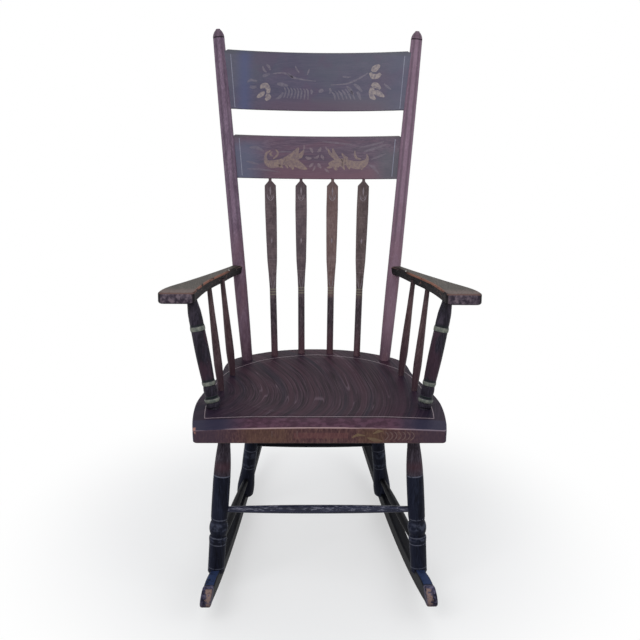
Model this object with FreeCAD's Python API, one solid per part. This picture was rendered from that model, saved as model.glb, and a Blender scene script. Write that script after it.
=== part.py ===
import FreeCAD, Part
import math
import os
from FreeCAD import Vector

# An arrow-back rocking chair: a plank seat on four splayed turned legs and two flat curved
# rockers, with two bent back posts, two bowed back boards, four arrow spindles and two arms.
#
# Sizes are in millimetres and angles in degrees. The chair faces -Y, X runs across it and Z is
# the height above the floor. Y is measured back from the seat's front edge, and every finished
# piece is moved by ORIGIN_Y, so that the origin lies on the floor under the middle of the chair.

# Rockers: flat boards, toed out towards the front and leaning with the legs.
ROCKER_THICK = 22
ROCKER_DEPTH = 50
ROCKER_RADIUS = 1250
REST_Y = 248
NOSE_Y = -103
TAIL_Y = 640
TAIL_DEPTH = 34
ROCKER_MIDDLE_X = 233.7
ROCKER_TOE = 0.13
ROCKER_CANT = 0.13
ROCKER_ROUND = 4
ORIGIN_Y = (NOSE_Y + TAIL_Y) / 2

# Seat plank.
SEAT_TOP = 420
SEAT_THICK = 38
SEAT_BOTTOM = SEAT_TOP - SEAT_THICK
SEAT_EDGE_ROUND = 3
SEAT_CROWN_RADIUS = 4900
SEAT_CROWN_SLOPE = 4
DISH_DEPTH = 8
DISH_HALF_WIDTH = 208
DISH_HALF_LENGTH = 158
DISH_MIDDLE_Y = 214

# Legs: each runs from its foot, which straddles a rocker, into the underside of the seat.
FRONT_FOOT = Vector(223.4, 24.5, 55)
FRONT_LEG_TOP = Vector(200.5, 65, SEAT_BOTTOM)
REAR_FOOT = Vector(172.3, 392, 44)
REAR_LEG_TOP = Vector(132.5, 352, SEAT_BOTTOM)
LEG_TENON = 24
FRONT_STRETCHER_Z = 202
REAR_STRETCHER_Z = 192
SIDE_STRETCHER_FRONT_Z = 113
SIDE_STRETCHER_REAR_Z = 91
STRETCHER_END = 6.7
PIN_RADIUS = 2.5
PIN_REACH = 17

# Back posts: round, bent back above the arms, with the front of the upper part shaved flat.
POST_BASE = Vector(162.8, 367, SEAT_TOP)
POST_LOWER_SPLAY = 0.0873
POST_UPPER_SPLAY = 0.0945
POST_LOWER_SLOPE = 0.195
POST_UPPER_SLOPE = 0.318
BEND_Z = 635
BEND_REACH = 45
POST_SHOULDER_Z = 1138
POST_RADIUS = 14.9
POST_FLAT = 11.2

# Back boards, bowed backwards between the posts.
BOARD_THICK = 10
BOARD_BOW = 32
BOARD_BOW_HALF = 205
CREST_Z = (983.5, 1112)
LOWER_RAIL_Z = (832, 927)
BOARD_TENON = 10
BOARD_EDGE = 1.2

# Arrow spindles: half distances from the middle at the seat and at the lower rail.
ARROW_SEAT = [(98, 391), (34, 406)]
ARROW_RAIL_X = [110, 37.2]
BLADE_THICK = 9
BLADE_WIDTH = 27.4
ROD_RADIUS = 7.8
NECK_RADIUS = 3.5

# Arms: flat boards that rise to the front, thinner at the back.
ARM_SLOPE = 7
ARM_REAR_Y = 404
ARM_REAR_TOP_Z = 640.5
ARM_THICK = 24.5
ARM_REAR_THICK = 20
ARM_CORNER = 13
ARM_EDGE_ROUND = 5
ARM_POST_BASE = Vector(225.5, 95, SEAT_TOP)
ARM_POST_TOP = Vector(269.5, 138, 648)
SPINDLE_BASES = [Vector(214.5, 187, SEAT_TOP), Vector(193, 273, SEAT_TOP)]
SPINDLE_TOPS = [Vector(240, 242, 638), Vector(214, 300, 631)]

# Gap left round every tenon, pin and screw in its hole.
FIT = 0.1


def mirrored(shape):
    return shape.mirror(Vector(0, 0, 0), Vector(1, 0, 0))


def point_at(foot, top, z):
    """The point at height z on the straight line through foot and top."""
    return foot + (top - foot) * ((z - foot.z) / (top.z - foot.z))


def distances(foot, top, rows):
    """Turns heights in rows of (height, radius, bulge) into distances from the foot."""
    stretch = (top - foot).Length / (top.z - foot.z)
    return [((z - foot.z) * stretch, radius, bulge) for z, radius, bulge in rows]


def turned(foot, top, rows):
    """A lathe-turned piece. Each row is the distance from the foot, the radius there, and how
    far the stretch before it bulges outwards as an arc."""
    start = Vector(rows[0][1], 0, rows[0][0])
    edges = [Part.LineSegment(Vector(0, 0, start.z), start).toShape()]
    for distance, radius, bulge in rows[1:]:
        end = Vector(radius, 0, distance)
        if bulge:
            along = (end - start).normalize()
            middle = (start + end) * 0.5 + Vector(along.z, 0, -along.x) * bulge
            edges.append(Part.Arc(start, middle, end).toShape())
        else:
            edges.append(Part.LineSegment(start, end).toShape())
        start = end
    edges.append(Part.LineSegment(start, Vector(0, 0, start.z)).toShape())
    edges.append(Part.LineSegment(Vector(0, 0, start.z), Vector(0, 0, rows[0][0])).toShape())
    solid = Part.Face(Part.Wire(edges)).revolve(Vector(0, 0, 0), Vector(0, 0, 1), 360)
    solid.Placement = FreeCAD.Placement(foot, FreeCAD.Rotation(Vector(0, 0, 1), top - foot))
    return solid


def rod(start, end, radius):
    return Part.makeCylinder(radius, (end - start).Length, start, end - start)


def hole(mouth, inside, radius, depth):
    """A socket for a tenon that leans: it starts outside the mouth and goes depth inwards."""
    inwards = (inside - mouth).normalize()
    return rod(mouth - inwards * 2 * radius, mouth + inwards * (depth + 0.5), radius + FIT)


def plate(points, thickness):
    """A flat plate from an outline of points in the XY plane."""
    wire = Part.makePolygon([Vector(x, y, 0) for x, y in points + points[:1]])
    return Part.Face(wire).extrude(Vector(0, 0, thickness))


# Rockers

def underside_z(y):
    return ROCKER_RADIUS - math.sqrt(ROCKER_RADIUS ** 2 - (y - REST_Y) ** 2)


def rocker_frame():
    """Placement of the rocker board: its faces are square to the first axis."""
    across = Vector(1, ROCKER_TOE, ROCKER_CANT).normalize()
    along = Vector(-ROCKER_TOE, 1, 0).normalize()
    turn = FreeCAD.Rotation(across, along, across.cross(along), "XYZ")
    return FreeCAD.Placement(Vector(ROCKER_MIDDLE_X, 0, 0), turn)


def rocker_profile(raise_top):
    """Side view of a rocker: a long arc below, a gently dished top and a raised round nose."""
    def below(y):
        return Vector(0, y, underside_z(y))

    def above(y, depth):
        return Vector(0, y, underside_z(y) + depth + raise_top)

    tail_low = below(TAIL_Y - 12)
    tail_high = above(TAIL_Y - 10, TAIL_DEPTH)
    tail_tip = Vector(0, TAIL_Y, (tail_low.z + tail_high.z) / 2)
    heel = above(470, ROCKER_DEPTH - 4)
    middle = above(REST_Y, ROCKER_DEPTH - 2)
    instep = Vector(0, -6, 73 + raise_top)
    dip = Vector(0, -42, 82 + raise_top)
    neck = Vector(0, -66, 83 + raise_top)
    crown = Vector(0, -82, 89 + raise_top)
    nose = Vector(0, NOSE_Y, 65)
    chin = below(-72)
    top = Part.BSplineCurve()
    top.interpolate([tail_high, heel, middle, instep, dip, neck])
    edges = [
        Part.Arc(chin, below(REST_Y), tail_low).toShape(),
        Part.Arc(tail_low, tail_tip, tail_high).toShape(),
        top.toShape(),
        Part.LineSegment(neck, crown).toShape(),
        Part.Arc(crown, nose, chin).toShape(),
    ]
    return Part.Face(Part.Wire(edges))


def rocker_board(extra):
    """The right-hand rocker, thicker by extra on each face when it is used to cut the slots."""
    block = rocker_profile(extra).extrude(Vector(400, 0, 0))
    half = ROCKER_THICK / 2 + extra
    slab = Part.makeBox(2 * half, 1400, 700, Vector(-half, -500, -300))
    slab.Placement = rocker_frame().multiply(slab.Placement)
    return block.common(slab)


def rocker():
    board = rocker_board(0)
    board = board.makeFillet(ROCKER_ROUND, board.Edges)
    for foot, top in ((FRONT_FOOT, FRONT_LEG_TOP), (REAR_FOOT, REAR_LEG_TOP)):
        board = board.cut(pin_hole(foot, top))
    return board


def pin_axis(foot, top):
    """The middle of a foot's pin and its direction, square to the rocker."""
    return point_at(foot, top, foot.z + 7), Vector(1, ROCKER_TOE, ROCKER_CANT).normalize()


def foot_pin(foot, top):
    """A wooden pin through the cheeks of a foot and the rocker between them."""
    middle, across = pin_axis(foot, top)
    return rod(middle - across * PIN_REACH, middle + across * PIN_REACH, PIN_RADIUS)


def pin_hole(foot, top):
    middle, across = pin_axis(foot, top)
    return rod(middle - across * 25, middle + across * 25, PIN_RADIUS + FIT)


# Legs and stretchers

def front_leg():
    """A bulb under the seat, a long shaft, and a bead, a neck and a flat ring above the foot."""
    rows = [
        (55, 12.5, 0), (61, 17.9, 2), (123.5, 18.6, 0), (125, 17.8, 0), (126.5, 18.6, 0),
        (131, 19, 0.2), (140.5, 19, 0.6), (142.5, 16.2, 0), (145, 16.8, 0),
        (176.5, 16.8, 3.6), (180, 17.8, 0), (182, 17, 0), (184, 18.3, 0),
        (250, 18.7, 0.2), (305, 17.4, 0.4), (345, 13.9, 0.3), (376, 12, 0),
        (SEAT_BOTTOM + LEG_TENON, 12, 0),
    ]
    leg = turned(FRONT_FOOT, FRONT_LEG_TOP, distances(FRONT_FOOT, FRONT_LEG_TOP, rows))
    leg = leg.cut(rocker_board(FIT)).cut(pin_hole(FRONT_FOOT, FRONT_LEG_TOP))
    leg = leg.cut(stretcher_hole(front_stretcher_ends()))
    return leg.cut(stretcher_hole(side_stretcher_ends()))


def rear_leg():
    rows = [
        (44, 15, 0), (50, 20.2, 1.5), (78, 20.2, 0.6), (116, 16.7, 0), (125.5, 16.4, 0),
        (127, 15.6, 0), (128.5, 16.4, 0), (176.5, 16.4, 0.2), (178, 15.6, 0), (179.5, 16.4, 0),
        (260, 16.6, 0.3), (340, 13.2, 0.8), (376, 12, 0),
        (SEAT_BOTTOM + LEG_TENON, 12, 0),
    ]
    leg = turned(REAR_FOOT, REAR_LEG_TOP, distances(REAR_FOOT, REAR_LEG_TOP, rows))
    leg = leg.cut(rocker_board(FIT)).cut(pin_hole(REAR_FOOT, REAR_LEG_TOP))
    leg = leg.cut(stretcher_hole(rear_stretcher_ends()))
    start, end = side_stretcher_ends()
    return leg.cut(stretcher_hole((end, start)))


def front_stretcher_ends():
    end = point_at(FRONT_FOOT, FRONT_LEG_TOP, FRONT_STRETCHER_Z)
    return end, Vector(-end.x, end.y, end.z)


def rear_stretcher_ends():
    end = point_at(REAR_FOOT, REAR_LEG_TOP, REAR_STRETCHER_Z)
    return end, Vector(-end.x, end.y, end.z)


def side_stretcher_ends():
    return (point_at(FRONT_FOOT, FRONT_LEG_TOP, SIDE_STRETCHER_FRONT_Z),
            point_at(REAR_FOOT, REAR_LEG_TOP, SIDE_STRETCHER_REAR_Z))


def stretcher_hole(ends):
    """The hole for the stretcher's first end: it opens on the side that faces the other end."""
    start, end = ends
    towards = (end - start).normalize()
    return rod(start - towards * 4.5, start + towards * 40, STRETCHER_END + FIT)


def stretcher(ends, swell):
    """A round stretcher, slimmest at its tenons and swelling towards the middle."""
    start, end = ends
    length = (end - start).Length
    end_rows = [(length - 24, STRETCHER_END, swell * 0.3), (length + 4, STRETCHER_END, 0)]
    rows = [(-4, STRETCHER_END, 0), (24, STRETCHER_END, 0)]
    rows += [(length / 2, STRETCHER_END + swell, swell * 0.3)] + end_rows
    return turned(start, end, rows)


# Seat

def seat_outline():
    """Front edge straight, sides bulging at the arm posts and drawn in to a round back."""
    half = [Vector(266.5, 30, 0), Vector(268, 66, 0), Vector(264, 126, 0), Vector(255, 167, 0),
            Vector(235, 232, 0), Vector(217, 298, 0), Vector(209, 342, 0), Vector(188, 372, 0),
            Vector(155, 393, 0), Vector(88, 420, 0), Vector(0, 430, 0)]
    other = [Vector(-p.x, p.y, 0) for p in reversed(half[:-1])]
    side = Part.BSplineCurve()
    side.interpolate(half + other)
    corner = Vector(263, 0, 0)
    front = [Part.LineSegment(other[-1], Vector(-corner.x, 0, 0)).toShape(),
             Part.LineSegment(Vector(-corner.x, 0, 0), corner).toShape(),
             Part.LineSegment(corner, half[0]).toShape()]
    return Part.Wire([side.toShape()] + front)


def seat_blank():
    """The plank, with its front corners falling away and its edges rounded."""
    plank = Part.Face(seat_outline()).extrude(Vector(0, 0, SEAT_THICK))
    plank.translate(Vector(0, 0, SEAT_BOTTOM))
    corners = [e for e in plank.Edges if abs(e.BoundBox.ZLength - SEAT_THICK) < 0.1
               and e.BoundBox.YMax < 20]
    plank = plank.makeFillet(9, corners)
    slope = math.radians(SEAT_CROWN_SLOPE)
    uphill = Vector(0, math.cos(slope), math.sin(slope))
    inwards = Vector(0, math.sin(slope), -math.cos(slope))
    start = Vector(0, 22, SEAT_TOP) - uphill * 300 + inwards * SEAT_CROWN_RADIUS
    crown = Part.makeCylinder(SEAT_CROWN_RADIUS, 1000, start, uphill)
    return plank.common(crown)


def dish():
    """The shallow hollow of the seat: a shallow bowl, longer across the seat than along it."""
    rim = 1.1 * DISH_HALF_WIDTH
    rise = DISH_DEPTH * (1.1 ** 2 - 1)
    bottom = Vector(0, 0, -DISH_DEPTH)
    edge = Vector(rim, 0, rise)
    halfway = Vector(rim / 2, 0, DISH_DEPTH * (0.55 ** 2 - 1))
    top = Vector(0, 0, rise)
    outline = [Part.Arc(bottom, halfway, edge).toShape(), Part.LineSegment(edge, top).toShape(),
               Part.LineSegment(top, bottom).toShape()]
    bowl = Part.Face(Part.Wire(outline)).revolve(Vector(0, 0, 0), Vector(0, 0, 1), 360)
    shrink = FreeCAD.Matrix()
    shrink.scale(1, DISH_HALF_LENGTH / DISH_HALF_WIDTH, 1)
    bowl = bowl.transformGeometry(shrink)
    bowl.translate(Vector(0, DISH_MIDDLE_Y, SEAT_TOP))
    return bowl


def seat():
    plank = seat_blank().cut(dish())
    rims = [e for e in plank.Edges if on_rim(e)]
    plank = plank.makeFillet(SEAT_EDGE_ROUND, rims)
    down = Vector(0, 0, -1)
    for side in (1, -1):
        sockets = [
            hole(FRONT_LEG_TOP, FRONT_LEG_TOP * 2 - FRONT_FOOT, 12, LEG_TENON),
            hole(REAR_LEG_TOP, REAR_LEG_TOP * 2 - REAR_FOOT, 12, LEG_TENON),
            hole(POST_BASE, post_axis(SEAT_TOP - 30), 12, 26),
            hole(ARM_POST_BASE, ARM_POST_BASE * 2 - ARM_POST_TOP, 11, 22),
        ]
        for base, top in zip(SPINDLE_BASES, SPINDLE_TOPS):
            sockets.append(hole(base, base * 2 - top, 6.4, 18))
        for base, top in arrow_axes():
            sockets.append(hole(base, base * 2 - top, ROD_RADIUS, 20))
        for socket in sockets:
            plank = plank.cut(socket if side == 1 else mirrored(socket))
    return plank


def on_rim(edge):
    """True for the edges between the plank's outer sides and its top or bottom."""
    box = edge.BoundBox
    if box.ZLength > SEAT_THICK - 12:
        return False
    inside = abs(edge.CenterOfMass.x) < 20 and 60 < edge.CenterOfMass.y < 330
    return not (inside and box.XLength < 2 * DISH_HALF_WIDTH + 40)


# Back

def post_axis(z):
    """The middle line of the right-hand back post, as if its bend were a sharp corner."""
    run = z - SEAT_TOP
    bent = max(0, z - BEND_Z)
    x = POST_BASE.x + POST_LOWER_SPLAY * run + (POST_UPPER_SPLAY - POST_LOWER_SPLAY) * bent
    y = POST_BASE.y + POST_LOWER_SLOPE * run + (POST_UPPER_SLOPE - POST_LOWER_SLOPE) * bent
    return Vector(x, y, z)


def post_bend():
    """The bent stretch of a post, and the two points where the straight stretches meet it."""
    corner = post_axis(BEND_Z)
    down = (post_axis(SEAT_TOP) - corner).normalize()
    up = (post_axis(POST_SHOULDER_Z) - corner).normalize()
    low = corner + down * BEND_REACH
    high = corner + up * BEND_REACH
    half_angle = math.acos(down.dot(up)) / 2
    inwards = (down + up).normalize()
    radius = BEND_REACH * math.tan(half_angle)
    centre = corner + inwards * (BEND_REACH / math.cos(half_angle))
    middle = centre - inwards * radius
    path = Part.Wire([Part.Arc(low, middle, high).toShape()])
    ring = Part.Face(Part.Wire(Part.makeCircle(POST_RADIUS, low, down * -1)))
    return path.makePipe(ring), low, high


def back_post():
    """Two straight turned stretches with a bend between them, flattened in front, with a cap."""
    bend, low, high = post_bend()
    seat_end = post_axis(SEAT_TOP - 25)
    shoulder = post_axis(POST_SHOULDER_Z)
    lower_length = (low - seat_end).Length
    upper_length = (shoulder - high).Length
    lower = turned(seat_end, low, [(0, 12, 0), (30, 12.6, 0), (lower_length, POST_RADIUS, 0.3)])
    upper = turned(high, shoulder, [(0, POST_RADIUS, 0), (upper_length * 0.45, 14.7, 0),
                                    (upper_length, 13.2, 0.4)])
    cap = [(-6, 8, 0), (0, 11.6, 0), (1.2, 13.2, 0), (18, 5.2, 1.7), (19.5, 4.2, 0.4)]
    cap = turned(shoulder, shoulder * 2 - high, cap)
    post = lower.fuse(bend).fuse(upper).fuse(cap).removeSplitter()
    post = post.cut(front_shaving())
    for low_z, high_z in (CREST_Z, LOWER_RAIL_Z):
        post = post.cut(back_board(low_z, high_z, FIT))
    return post.cut(arm_screw(FIT))


def front_shaving():
    """Everything in front of the flat that runs up the front of a post."""
    upper = post_axis(POST_SHOULDER_Z)
    up = (upper - post_axis(BEND_Z)).normalize()
    front = Vector(0, -1, 0)
    front = (front - up * front.dot(up)).normalize()
    turn = FreeCAD.Rotation(up.cross(front) * -1, front * -1, up, "XYZ")
    block = Part.makeBox(80, 40, 560, Vector(-40, -40 - POST_FLAT, -566))
    block.Placement = FreeCAD.Placement(upper, turn).multiply(block.Placement)
    return block


def back_board(low, high, extra):
    """A board between the posts, bowed backwards and square to the lean of the back."""
    length = math.hypot(1, POST_UPPER_SLOPE)
    up = Vector(0, POST_UPPER_SLOPE, 1) / length
    back = Vector(0, 1, -POST_UPPER_SLOPE) / length
    radius = (BOARD_BOW_HALF ** 2 + BOARD_BOW ** 2) / (2 * BOARD_BOW)
    base = Vector(0, post_axis(low).y, low) - up * extra
    height = (high - low) * length + 2 * extra
    half = BOARD_THICK / 2 + extra

    def arc(offset):
        reach = 235
        drop = radius + offset - math.sqrt((radius + offset) ** 2 - reach ** 2)
        middle = base + back * (BOARD_BOW + offset)
        left = middle - back * drop - Vector(reach, 0, 0)
        right = middle - back * drop + Vector(reach, 0, 0)
        return Part.Arc(left, middle, right).toShape(), left, right

    rear, rear_left, rear_right = arc(half)
    face, face_left, face_right = arc(-half)
    ends = [Part.LineSegment(rear_right, face_right).toShape(),
            Part.LineSegment(face_left, rear_left).toShape()]
    band = Part.Face(Part.Wire([rear, ends[0], face, ends[1]])).extrude(up * height)
    low_x = post_axis(low).x
    high_x = post_axis(high).x
    visible = high_x - 14
    end = BOARD_TENON - 14
    clip = 3.5 - extra
    sides = [(high_x + end, height - clip), (visible, height - clip), (visible - 5, height)]
    outline = [(low_x + end, 0)] + sides + [(-x, y) for x, y in reversed(sides)]
    outline.append((-low_x - end, 0))
    mask = plate(outline, 160)
    turn = FreeCAD.Rotation(Vector(1, 0, 0), up, back * -1, "XYZ")
    mask.Placement = FreeCAD.Placement(base + back * 120, turn)
    return band.common(mask)


def crest_rail():
    board = back_board(CREST_Z[0], CREST_Z[1], 0)
    return board.makeChamfer(BOARD_EDGE, long_edges(board))


def lower_back_rail():
    board = back_board(LOWER_RAIL_Z[0], LOWER_RAIL_Z[1], 0)
    board = board.makeChamfer(BOARD_EDGE, long_edges(board))
    for base, top in arrow_axes():
        socket = rod(top - (top - base).normalize() * 12, top, NECK_RADIUS + FIT)
        board = board.cut(socket).cut(mirrored(socket))
    return board


def long_edges(board):
    return [e for e in board.Edges if e.Length > 300]


def arrow_axes():
    """Each right-hand spindle's axis, from the seat's face to the end of its upper tenon."""
    length = math.hypot(1, POST_UPPER_SLOPE)
    low = post_axis(LOWER_RAIL_Z[0])
    axes = []
    for (seat_x, seat_y), rail_x in zip(ARROW_SEAT, ARROW_RAIL_X):
        sag = BOARD_BOW * (1 - (rail_x / BOARD_BOW_HALF) ** 2)
        foot = Vector(seat_x, seat_y, SEAT_TOP)
        edge = Vector(rail_x, low.y + sag / length, low.z - sag * POST_UPPER_SLOPE / length)
        axes.append((foot, edge + (edge - foot).normalize() * 9))
    return axes


def arrow_spindle(base, top):
    """A round rod that flattens into a long blade with sloping shoulders and a thin neck."""
    length = (top - base).Length - 9
    fork = length - 252
    rows = [(-20, ROD_RADIUS, 0), (fork, ROD_RADIUS, 0), (fork + 46, 3.5, 1.4)]
    shaft = turned(base, top, rows)
    neck = turned(base, top, [(length - 30, 3, 0), (length - 10, NECK_RADIUS, 0),
                              (length + 8.5, NECK_RADIUS, 0)])
    half = BLADE_WIDTH / 2
    side = [(ROD_RADIUS, fork - 4), (9.2, fork + 26), (11.5, fork + 60), (half - 1, fork + 112),
            (half, fork + 180), (half - 0.5, length - 16), (NECK_RADIUS, length - 5),
            (NECK_RADIUS - 0.6, length - 1)]
    outline = side + [(-x, y) for x, y in reversed(side)]
    blade = plate(outline, BLADE_THICK)
    blade.translate(Vector(0, 0, -BLADE_THICK / 2))
    rims = [e for e in blade.Edges if e.BoundBox.ZLength < 0.1 and e.BoundBox.YLength > 5]
    blade = blade.makeFillet(2, rims)
    up = (top - base).normalize()
    across = (Vector(1, 0, 0) - up * up.x).normalize()
    blade.Placement = FreeCAD.Placement(base, FreeCAD.Rotation(across, up, across.cross(up), "XYZ"))
    return shaft.fuse(blade).fuse(neck).removeSplitter()


# Arms

def tilt_arm(shape):
    """Lifts the front of a level arm round its rear end."""
    shape.rotate(Vector(0, ARM_REAR_Y, 0), Vector(1, 0, 0), -ARM_SLOPE)
    shape.translate(Vector(0, 0, ARM_REAR_TOP_Z))
    return shape


def arm_blank():
    """Plan of the right-hand arm: narrow at the post, widest and square-ended at the front."""
    outer = [Vector(197.5, ARM_REAR_Y, 0), Vector(228, 338, 0), Vector(263.5, 268, 0),
             Vector(297, 206, 0), Vector(327, 150, 0), Vector(337.5, 96, 0)]
    inner = [Vector(262, 96, 0), Vector(256, 140, 0), Vector(246, 196, 0), Vector(228, 258, 0),
             Vector(205, 322, 0), Vector(185, 378, 0), Vector(169.5, ARM_REAR_Y, 0)]
    curves = []
    for points in (outer, inner):
        curve = Part.BSplineCurve()
        curve.interpolate(points)
        curves.append(curve.toShape())
    front = Part.LineSegment(outer[-1], inner[0]).toShape()
    rear = Part.LineSegment(inner[-1], outer[0]).toShape()
    board = Part.Face(Part.Wire([curves[0], front, curves[1], rear]))
    board = board.extrude(Vector(0, 0, -ARM_THICK))
    corners = [e for e in board.Edges if e.BoundBox.ZLength > ARM_THICK - 1
               and e.BoundBox.YMax < 120]
    board = board.makeFillet(ARM_CORNER, corners)
    taper = math.degrees(math.atan((ARM_THICK - ARM_REAR_THICK) / (ARM_REAR_Y - 96)))
    waste = Part.makeBox(400, 400, 40, Vector(0, 66, -ARM_THICK - 40))
    waste.rotate(Vector(0, 96, -ARM_THICK), Vector(1, 0, 0), taper)
    board = board.cut(waste)
    return board.makeFillet(ARM_EDGE_ROUND, [e for e in board.Edges if arm_rim(e)])


def arm_rim(edge):
    """True for the edges round the top and bottom faces, apart from those at the post."""
    box = edge.BoundBox
    return box.ZLength < 8 and box.YMin < ARM_REAR_Y - 5


def arm():
    board = tilt_arm(arm_blank())
    board = board.cut(back_post())
    board = board.cut(arm_screw(FIT))
    board = board.cut(hole(ARM_POST_TOP, ARM_POST_TOP * 2 - ARM_POST_BASE, 7.5, 14))
    for base, top in zip(SPINDLE_BASES, SPINDLE_TOPS):
        board = board.cut(hole(top, top * 2 - base, 5.4, 11))
    return board


def arm_screw(extra):
    """A countersunk screw from the back of a post into the end of its arm."""
    back = post_axis(ARM_REAR_TOP_Z - 9)
    head = back + Vector(0, 15, 0)
    rows = [(0, 4.2 + extra, 0), (3.4, 2 + extra, 0), (52 + extra, 2 + extra, 0)]
    return turned(head, head + Vector(0.12, -1, 0.12), rows)


def arm_post():
    """A turned post: neck, long swell, ring, cylinder, ring, barrel and two rings on a base."""
    rows = [
        (400, 11, 0), (421, 11, 0), (423, 14.6, 0), (431, 14.6, 0.3), (432, 13.4, 0),
        (434, 15.4, 0), (441, 15.4, 1), (443, 13.4, 0), (445, 14, 0), (447, 13, 0),
        (468, 13, 1.2), (469, 13.6, 0), (477, 14.4, 0.6), (479, 13.6, 0),
        (530, 15.4, 0.2), (584, 15, 0.2), (585, 15.8, 0), (594, 15.6, 0.6),
        (596, 14.8, 0), (612, 14.6, 0.2), (634, 12.6, 0.5), (650, 10.4, 0), (651, 7.5, 0),
        (662, 7.5, 0),
    ]
    base, top = ARM_POST_BASE, ARM_POST_TOP
    return turned(base, top, distances(base, top, rows))


def arm_spindle(base, top):
    """A plain spindle, thickest a quarter of the way up and slim at both ends."""
    length = (top - base).Length
    rows = [(-17, 6.4, 0), (4, 6.4, 0), (length * 0.26, 9.2, 0.4), (length * 0.7, 6.7, 0.3),
            (length - 6, 5.4, 0), (length + 10, 5.4, 0)]
    return turned(base, top, rows)


def save(name, shape):
    shape.translate(Vector(0, -ORIGIN_Y, 0))
    shape.exportStep("parts/" + name + ".step")


def save_pair(name, shape):
    save(name + "_left", mirrored(shape))
    save(name + "_right", shape)


def main():
    os.makedirs("parts", exist_ok=True)
    save("seat", seat())
    save_pair("back_post", back_post())
    save("crest_rail", crest_rail())
    save("lower_back_rail", lower_back_rail())
    outer, inner = arrow_axes()
    save("arrow_spindle_1", mirrored(arrow_spindle(*outer)))
    save("arrow_spindle_2", mirrored(arrow_spindle(*inner)))
    save("arrow_spindle_3", arrow_spindle(*inner))
    save("arrow_spindle_4", arrow_spindle(*outer))
    save_pair("arm", arm())
    save_pair("arm_post", arm_post())
    save_pair("arm_spindle_front", arm_spindle(SPINDLE_BASES[0], SPINDLE_TOPS[0]))
    save_pair("arm_spindle_rear", arm_spindle(SPINDLE_BASES[1], SPINDLE_TOPS[1]))
    save_pair("front_leg", front_leg())
    save_pair("rear_leg", rear_leg())
    save_pair("rocker", rocker())
    save("front_stretcher", stretcher(front_stretcher_ends(), 2.8))
    save("rear_stretcher", stretcher(rear_stretcher_ends(), 2.2))
    save_pair("side_stretcher", stretcher(side_stretcher_ends(), 2.6))
    pins = [foot_pin(FRONT_FOOT, FRONT_LEG_TOP), foot_pin(REAR_FOOT, REAR_LEG_TOP)]
    save("foot_pins", Part.makeCompound(pins + [mirrored(pin) for pin in pins]))
    screw = arm_screw(0)
    save("arm_screws", Part.makeCompound([screw, mirrored(screw)]))


main()
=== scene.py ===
import math

import bpy
from mathutils import Matrix, Vector
from mathutils.bvhtree import BVHTree

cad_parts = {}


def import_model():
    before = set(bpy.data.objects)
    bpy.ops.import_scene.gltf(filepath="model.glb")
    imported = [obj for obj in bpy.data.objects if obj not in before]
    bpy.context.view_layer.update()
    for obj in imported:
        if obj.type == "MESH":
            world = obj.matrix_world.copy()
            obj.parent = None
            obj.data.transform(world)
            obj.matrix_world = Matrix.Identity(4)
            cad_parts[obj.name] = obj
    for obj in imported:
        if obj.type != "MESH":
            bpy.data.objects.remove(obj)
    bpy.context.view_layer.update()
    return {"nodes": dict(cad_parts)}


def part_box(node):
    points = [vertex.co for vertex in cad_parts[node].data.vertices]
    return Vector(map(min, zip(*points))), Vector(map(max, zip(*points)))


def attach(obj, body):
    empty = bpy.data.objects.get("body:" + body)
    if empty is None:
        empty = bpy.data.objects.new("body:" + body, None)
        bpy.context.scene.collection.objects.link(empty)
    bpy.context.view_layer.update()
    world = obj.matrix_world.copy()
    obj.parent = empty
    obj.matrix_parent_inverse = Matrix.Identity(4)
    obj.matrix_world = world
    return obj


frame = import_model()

# The looks of an old painted rocking chair: dark grained paint that has worn along its edges,
# faded gold stencils on the two back boards, pale pinstripes on the seat and pale painted rings
# on the turned pieces.
#
# Places are written in millimetres as (x, y, z): x across the chair, y back from the seat's front
# edge and z up from the floor. Colours are written as they show on a screen, from 0 to 255.

NODES = frame["nodes"]
SEAT_FRONT_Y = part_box("seat")[0].y * 1000

# Turned pieces: foot and top of each right-hand axis.
FRONT_LEG = ((223.4, 24.5, 55), (200.5, 65, 382))
REAR_LEG = ((172.3, 392, 44), (132.5, 352, 382))
ARM_POST = ((225.5, 95, 420), (269.5, 138, 648))
BACK_POST = ((162.8, 367, 420), (229.1, 569, 1138))
OUTER_SPINDLE = ((98, 391, 420), (110, 493, 825))
INNER_SPINDLE = ((34, 406, 420), (37.2, 501, 823))

# Middle of the front end of the right-hand rocker.
NOSE_X = 239

# Camera of the photograph.
CAMERA_PLACE = (-73.6, -2096, 1445.8)
CAMERA_YAW = 1.8995
CAMERA_PITCH = 20.622
CAMERA_ROLL = -0.877
CAMERA_LENS = 63.275

# Paint film: how far a stencil or stripe stands proud of the wood and reaches into it.
FILM_PROUD = 0.15
FILM_DEEP = 0.4

# How strongly the grain of every paint shows as bumps.
BUMP_STRENGTH = 0.5

# The comb's swirls on the seat: their middle, how far they waver in metres, and how much shorter
# the noise runs round them than across.
SWIRL_MIDDLE = (-290, 180, 420)
SWIRL_WAVER = 0.03
SWIRL_STRETCH = 0.008

# The floor: how pale the camera sees it, how much light it throws back on the chair, where it
# starts and ends to fade into the white background (in metres from the middle of the chair), and
# how much of that white it has before.
FLOOR_SEEN = 0.88
FLOOR_THROWN = 0.45
FLOOR_FADE = (0.36, 0.8)
FLOOR_WHITE = 0.5


def at(x, y, z):
    """A place in millimetres, as a vector in the frame's metres."""
    return Vector((x, y + SEAT_FRONT_Y, z)) / 1000


def screen(red, green, blue):
    """A colour as it shows on a screen, turned into the linear one that the shaders take."""
    linear = []
    for part in (red, green, blue):
        part = part / 255
        linear.append(part / 12.92 if part <= 0.04045 else ((part + 0.055) / 1.055) ** 2.4)
    return (*linear, 1)


# Materials

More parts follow.
